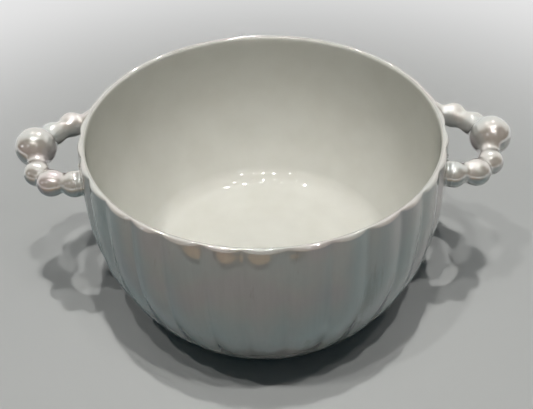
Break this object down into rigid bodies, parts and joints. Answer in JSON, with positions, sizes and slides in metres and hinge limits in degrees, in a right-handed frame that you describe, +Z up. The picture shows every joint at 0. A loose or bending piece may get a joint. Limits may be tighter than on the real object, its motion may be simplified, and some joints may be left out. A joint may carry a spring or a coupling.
{
  "type": "handled bowl",
  "caption": "Round ceramic serving bowl with a lobed outer wall, a rounded lip, a foot ring and a beaded loop handle on either side.",
  "frame": {"origin": "centre of the foot ring, on the surface that the bowl stands on", "axes": "+X through the middle of both handles, +Y from the front to the rear, +Z up out of the bowl's mouth"},
  "size_m": [0.2818, 0.208, 0.12],
  "materials": {
    "bowl_glaze": "glossy cream glaze, with a pearl lustre outside",
    "handle_glaze": "glossy pearl lustre glaze",
    "slip_glaze": "glossy pearl lustre glaze"
  },
  "bodies": {
    "root": {"bowl_body": "bowl_glaze", "left_handle": "handle_glaze", "right_handle": "handle_glaze", "left_front_slip_joint": "slip_glaze", "left_rear_slip_joint": "slip_glaze", "right_front_slip_joint": "slip_glaze", "right_rear_slip_joint": "slip_glaze"}
  },
  "joints": []
}
